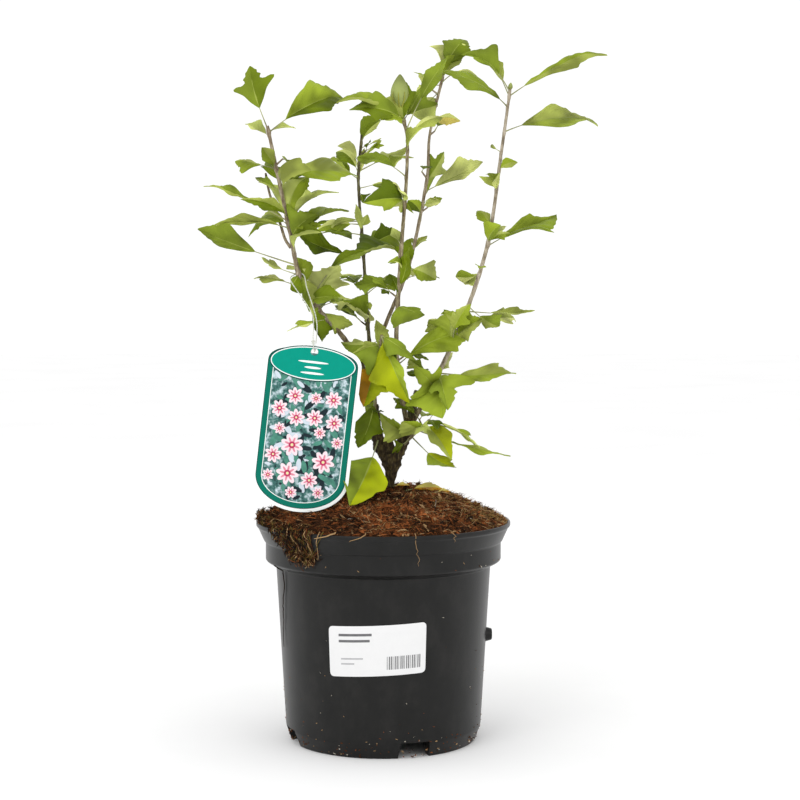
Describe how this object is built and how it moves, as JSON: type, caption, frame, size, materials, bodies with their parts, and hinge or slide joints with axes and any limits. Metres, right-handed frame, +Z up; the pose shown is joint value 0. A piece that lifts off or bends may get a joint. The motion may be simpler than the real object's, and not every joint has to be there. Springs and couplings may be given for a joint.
{
  "type": "potted hibiscus shrub",
  "caption": "Young hibiscus shrub with upright leafy shoots from a short forked trunk, in a round black nursery pot filled with soil, with a hanging picture tag.",
  "frame": {"origin": "centre of the pot's flat underside, on the ground plane", "axes": "+Z up the shrub; the label and the hanging tag face -Y; the tag hangs on the -X side"},
  "size_m": [0.3108, 0.19, 0.5282],
  "materials": {
    "pot_plastic": "satin black moulded plastic",
    "potting_soil": "crumbly fibrous peat",
    "label_paper": "white film label",
    "tag_card": "printed plastic card",
    "string": "white thread",
    "bark": "rough brown bark",
    "foliage": "soft green leaf"
  },
  "bodies": {
    "root": {"pot": "pot_plastic", "soil": "potting_soil", "pot_label": "label_paper", "tag": "tag_card", "tag_string": "string", "trunk": "bark", "left_arm": "bark", "right_arm": "bark", "left_stub": "bark", "right_stub": "bark", "left_bough": "bark", "second_bough": "bark", "third_bough": "bark", "fourth_bough": "bark", "right_bough": "bark", "left_foliage": "foliage", "second_foliage": "foliage", "third_foliage": "foliage", "fourth_foliage": "foliage", "right_foliage": "foliage", "low_left_foliage": "foliage", "low_right_foliage": "foliage"}
  },
  "joints": []
}
